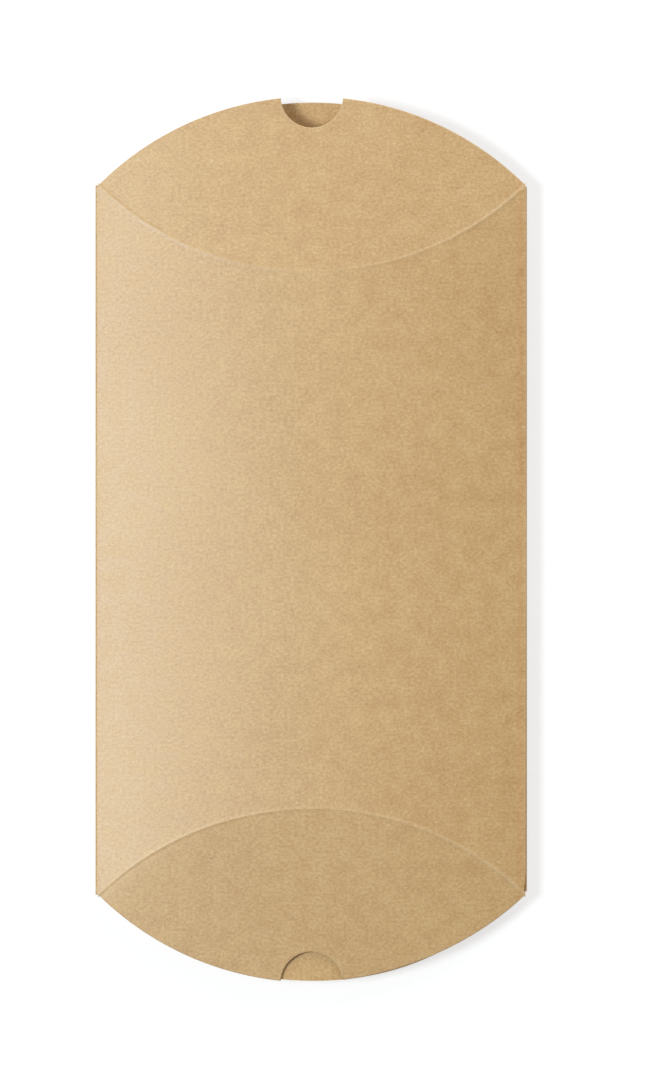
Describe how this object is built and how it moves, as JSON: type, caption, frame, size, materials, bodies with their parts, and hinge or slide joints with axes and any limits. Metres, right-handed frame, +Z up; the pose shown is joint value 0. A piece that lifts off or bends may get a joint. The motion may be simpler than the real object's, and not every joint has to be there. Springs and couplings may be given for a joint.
{
  "type": "pillow box",
  "caption": "Flat-lying kraft board pillow box: glued tube with curved creases, thumb-notched end flaps and a folding motion that closes it.",
  "frame": {"origin": "centre of the footprint, on the table that the back panel lies on", "axes": "+Y along the box towards the head end, +X across it towards the glued seam, +Z up out of the front panel"},
  "size_m": [0.1112, 0.2276, 0.0127],
  "materials": {
    "kraft_board": "uncoated matte board",
    "glue": "dried glue line"
  },
  "bodies": {
    "front_panel_1": {"front_panel_1": "kraft_board"},
    "front_panel_2": {"front_panel_2": "kraft_board"},
    "front_panel_3": {"front_panel_3": "kraft_board"},
    "front_panel_4": {"front_panel_4": "kraft_board"},
    "front_panel_5": {"front_panel_5": "kraft_board", "glue_tab": "kraft_board", "adhesive": "glue"},
    "head_front_flap_1": {"head_front_flap_1": "kraft_board"},
    "head_front_flap_2": {"head_front_flap_2": "kraft_board"},
    "head_front_flap_3": {"head_front_flap_3": "kraft_board"},
    "head_front_flap_4": {"head_front_flap_4": "kraft_board"},
    "head_front_flap_5": {"head_front_flap_5": "kraft_board"},
    "foot_front_flap_1": {"foot_front_flap_1": "kraft_board"},
    "foot_front_flap_2": {"foot_front_flap_2": "kraft_board"},
    "foot_front_flap_3": {"foot_front_flap_3": "kraft_board"},
    "foot_front_flap_4": {"foot_front_flap_4": "kraft_board"},
    "foot_front_flap_5": {"foot_front_flap_5": "kraft_board"},
    "back_panel_1": {"back_panel_1": "kraft_board", "side_fold": "kraft_board"},
    "back_panel_2": {"back_panel_2": "kraft_board"},
    "back_panel_3": {"back_panel_3": "kraft_board"},
    "back_panel_4": {"back_panel_4": "kraft_board"},
    "back_panel_5": {"back_panel_5": "kraft_board", "seam_fold": "kraft_board"},
    "head_back_flap_1": {"head_back_flap_1": "kraft_board"},
    "head_back_flap_2": {"head_back_flap_2": "kraft_board"},
    "head_back_flap_3": {"head_back_flap_3": "kraft_board"},
    "head_back_flap_4": {"head_back_flap_4": "kraft_board"},
    "head_back_flap_5": {"head_back_flap_5": "kraft_board"},
    "foot_back_flap_1": {"foot_back_flap_1": "kraft_board"},
    "foot_back_flap_2": {"foot_back_flap_2": "kraft_board"},
    "foot_back_flap_3": {"foot_back_flap_3": "kraft_board"},
    "foot_back_flap_4": {"foot_back_flap_4": "kraft_board"},
    "foot_back_flap_5": {"foot_back_flap_5": "kraft_board"}
  },
  "joints": [
    {"name": "side_fold_hinge", "type": "hinge", "parent": "back_panel_1", "child": "front_panel_1", "pos_m": [-0.05484, 0, 0.00637], "axis": [0, -1, 0], "range_deg": [0, 67.26], "deforming": ["side_fold", "seam_fold"]},
    {"name": "front_score_1", "type": "hinge", "parent": "front_panel_1", "child": "front_panel_2", "pos_m": [-0.03284, 0, 0.01062], "axis": [0, -1, 0], "range_deg": [-21.09, 0]},
    {"name": "front_score_2", "type": "hinge", "parent": "front_panel_2", "child": "front_panel_3", "pos_m": [-0.01084, 0, 0.0123], "axis": [0, -1, 0], "range_deg": [-13.55, 0]},
    {"name": "front_score_3", "type": "hinge", "parent": "front_panel_3", "child": "front_panel_4", "pos_m": [0.01116, 0, 0.0123], "axis": [0, -1, 0], "range_deg": [-13.55, 0]},
    {"name": "front_score_4", "type": "hinge", "parent": "front_panel_4", "child": "front_panel_5", "pos_m": [0.03316, 0, 0.01062], "axis": [0, -1, 0], "range_deg": [-21.09, 0]},
    {"name": "head_front_crease", "type": "hinge", "parent": "front_panel_3", "child": "head_front_flap_3", "pos_m": [0.00016, 0.0689, 0.0123], "axis": [-1, 0, 0], "range_deg": [0, 86.41], "deforming": ["head_front_flap_3"]},
    {"name": "head_front_flap_score_2", "type": "hinge", "parent": "head_front_flap_3", "child": "head_front_flap_2", "pos_m": [-0.01084, 0.06971, 0.01269], "axis": [0, -0.9975, 0.0713], "range_deg": [-20.78, 0], "deforming": ["head_front_flap_2"]},
    {"name": "head_front_flap_score_1", "type": "hinge", "parent": "head_front_flap_2", "child": "head_front_flap_1", "pos_m": [-0.03284, 0.07621, 0.01102], "axis": [0, -0.9975, 0.0713], "range_deg": [-30.49, 0], "deforming": ["head_front_flap_1"]},
    {"name": "head_front_flap_score_3", "type": "hinge", "parent": "head_front_flap_3", "child": "head_front_flap_4", "pos_m": [0.01116, 0.06971, 0.01269], "axis": [0, -0.9975, 0.0713], "range_deg": [0, 20.78], "deforming": ["head_front_flap_4"]},
    {"name": "head_front_flap_score_4", "type": "hinge", "parent": "head_front_flap_4", "child": "head_front_flap_5", "pos_m": [0.03316, 0.07621, 0.01102], "axis": [0, -0.9975, 0.0713], "range_deg": [0, 30.49], "deforming": ["head_front_flap_5"]},
    {"name": "foot_front_crease", "type": "hinge", "parent": "front_panel_3", "child": "foot_front_flap_3", "pos_m": [0.00016, -0.0689, 0.0123], "axis": [1, 0, 0], "range_deg": [0, 83.33], "deforming": ["foot_front_flap_3"]},
    {"name": "foot_front_flap_score_2", "type": "hinge", "parent": "foot_front_flap_3", "child": "foot_front_flap_2", "pos_m": [-0.01084, -0.06973, 0.01265], "axis": [0, -0.9922, -0.1248], "range_deg": [-19.85, 0], "deforming": ["foot_front_flap_2"]},
    {"name": "foot_front_flap_score_1", "type": "hinge", "parent": "foot_front_flap_2", "child": "foot_front_flap_1", "pos_m": [-0.03284, -0.07623, 0.01097], "axis": [0, -0.9922, -0.1248], "range_deg": [-29.26, 0], "deforming": ["foot_front_flap_1"]},
    {"name": "foot_front_flap_score_3", "type": "hinge", "parent": "foot_front_flap_3", "child": "foot_front_flap_4", "pos_m": [0.01116, -0.06973, 0.01265], "axis": [0, -0.9922, -0.1248], "range_deg": [0, 19.85], "deforming": ["foot_front_flap_4"]},
    {"name": "foot_front_flap_score_4", "type": "hinge", "parent": "foot_front_flap_4", "child": "foot_front_flap_5", "pos_m": [0.03316, -0.07623, 0.01097], "axis": [0, -0.9922, -0.1248], "range_deg": [0, 29.26], "deforming": ["foot_front_flap_5"]},
    {"name": "back_score_2", "type": "hinge", "parent": "back_panel_3", "child": "back_panel_2", "pos_m": [-0.01084, 0, 0.00045], "axis": [0, 1, 0], "range_deg": [0, 13.55]},
    {"name": "back_score_1", "type": "hinge", "parent": "back_panel_2", "child": "back_panel_1", "pos_m": [-0.03284, 0, 0.00213], "axis": [0, 1, 0], "range_deg": [0, 21.09]},
    {"name": "back_score_3", "type": "hinge", "parent": "back_panel_3", "child": "back_panel_4", "pos_m": [0.01116, 0, 0.00045], "axis": [0, 1, 0], "range_deg": [-13.55, 0]},
    {"name": "back_score_4", "type": "hinge", "parent": "back_panel_4", "child": "back_panel_5", "pos_m": [0.03316, 0, 0.00213], "axis": [0, 1, 0], "range_deg": [-21.09, 0]},
    {"name": "head_back_crease", "type": "hinge", "parent": "back_panel_3", "child": "head_back_flap_3", "pos_m": [0.00016, 0.0682, 0.00045], "axis": [1, 0, 0], "range_deg": [0, 86.38], "deforming": ["head_back_flap_3"]},
    {"name": "head_back_flap_score_2", "type": "hinge", "parent": "head_back_flap_3", "child": "head_back_flap_2", "pos_m": [-0.01084, 0.06901, 0.00006], "axis": [0, 0.9974, 0.0718], "range_deg": [-20.77, 0], "deforming": ["head_back_flap_2"]},
    {"name": "head_back_flap_score_1", "type": "hinge", "parent": "head_back_flap_2", "child": "head_back_flap_1", "pos_m": [-0.03284, 0.07551, 0.00173], "axis": [0, 0.9974, 0.0718], "range_deg": [-30.48, 0], "deforming": ["head_back_flap_1"]},
    {"name": "head_back_flap_score_3", "type": "hinge", "parent": "head_back_flap_3", "child": "head_back_flap_4", "pos_m": [0.01116, 0.06901, 0.00006], "axis": [0, 0.9974, 0.0718], "range_deg": [0, 20.77], "deforming": ["head_back_flap_4"]},
    {"name": "head_back_flap_score_4", "type": "hinge", "parent": "head_back_flap_4", "child": "head_back_flap_5", "pos_m": [0.03316, 0.07551, 0.00173], "axis": [0, 0.9974, 0.0718], "range_deg": [0, 30.48], "deforming": ["head_back_flap_5"]},
    {"name": "foot_back_crease", "type": "hinge", "parent": "back_panel_3", "child": "foot_back_flap_3", "pos_m": [0.00016, -0.0682, 0.00045], "axis": [-1, 0, 0], "range_deg": [0, 83.44], "deforming": ["foot_back_flap_3"]},
    {"name": "foot_back_flap_score_2", "type": "hinge", "parent": "foot_back_flap_3", "child": "foot_back_flap_2", "pos_m": [-0.01084, -0.06903, 0.0001], "axis": [0, 0.9924, -0.123], "range_deg": [-19.89, 0], "deforming": ["foot_back_flap_2"]},
    {"name": "foot_back_flap_score_1", "type": "hinge", "parent": "foot_back_flap_2", "child": "foot_back_flap_1", "pos_m": [-0.03284, -0.07553, 0.00178], "axis": [0, 0.9924, -0.123], "range_deg": [-29.31, 0], "deforming": ["foot_back_flap_1"]},
    {"name": "foot_back_flap_score_3", "type": "hinge", "parent": "foot_back_flap_3", "child": "foot_back_flap_4", "pos_m": [0.01116, -0.06903, 0.0001], "axis": [0, 0.9924, -0.123], "range_deg": [0, 19.89], "deforming": ["foot_back_flap_4"]},
    {"name": "foot_back_flap_score_4", "type": "hinge", "parent": "foot_back_flap_4", "child": "foot_back_flap_5", "pos_m": [0.03316, -0.07553, 0.00178], "axis": [0, 0.9924, -0.123], "range_deg": [0, 29.31], "deforming": ["foot_back_flap_5"]}
  ],
  "couplings": [
    {"joint": "front_score_1", "follows": "side_fold_hinge", "ratio": -0.30604},
    {"joint": "front_score_2", "follows": "side_fold_hinge", "ratio": -0.19396},
    {"joint": "front_score_3", "follows": "side_fold_hinge", "ratio": -0.19396},
    {"joint": "front_score_4", "follows": "side_fold_hinge", "ratio": -0.30604},
    {"joint": "head_front_crease", "follows": "side_fold_hinge", "ratio": 1.2772},
    {"joint": "head_front_flap_score_2", "follows": "side_fold_hinge", "ratio": -0.30149},
    {"joint": "head_front_flap_score_1", "follows": "side_fold_hinge", "ratio": -0.44581},
    {"joint": "head_front_flap_score_3", "follows": "side_fold_hinge", "ratio": 0.30149},
    {"joint": "head_front_flap_score_4", "follows": "side_fold_hinge", "ratio": 0.44581},
    {"joint": "foot_front_crease", "follows": "side_fold_hinge", "ratio": 1.2314},
    {"joint": "foot_front_flap_score_2", "follows": "side_fold_hinge", "ratio": -0.28771},
    {"joint": "foot_front_flap_score_1", "follows": "side_fold_hinge", "ratio": -0.42763},
    {"joint": "foot_front_flap_score_3", "follows": "side_fold_hinge", "ratio": 0.28771},
    {"joint": "foot_front_flap_score_4", "follows": "side_fold_hinge", "ratio": 0.42763},
    {"joint": "back_score_2", "follows": "side_fold_hinge", "ratio": 0.19396},
    {"joint": "back_score_1", "follows": "side_fold_hinge", "ratio": 0.30604},
    {"joint": "back_score_3", "follows": "side_fold_hinge", "ratio": -0.19396},
    {"joint": "back_score_4", "follows": "side_fold_hinge", "ratio": -0.30604},
    {"joint": "head_back_crease", "follows": "side_fold_hinge", "ratio": 1.2768},
    {"joint": "head_back_flap_score_2", "follows": "side_fold_hinge", "ratio": -0.30137},
    {"joint": "head_back_flap_score_1", "follows": "side_fold_hinge", "ratio": -0.44565},
    {"joint": "head_back_flap_score_3", "follows": "side_fold_hinge", "ratio": 0.30137},
    {"joint": "head_back_flap_score_4", "follows": "side_fold_hinge", "ratio": 0.44565},
    {"joint": "foot_back_crease", "follows": "side_fold_hinge", "ratio": 1.233},
    {"joint": "foot_back_flap_score_2", "follows": "side_fold_hinge", "ratio": -0.28819},
    {"joint": "foot_back_flap_score_1", "follows": "side_fold_hinge", "ratio": -0.42828},
    {"joint": "foot_back_flap_score_3", "follows": "side_fold_hinge", "ratio": 0.28819},
    {"joint": "foot_back_flap_score_4", "follows": "side_fold_hinge", "ratio": 0.42828}
  ]
}
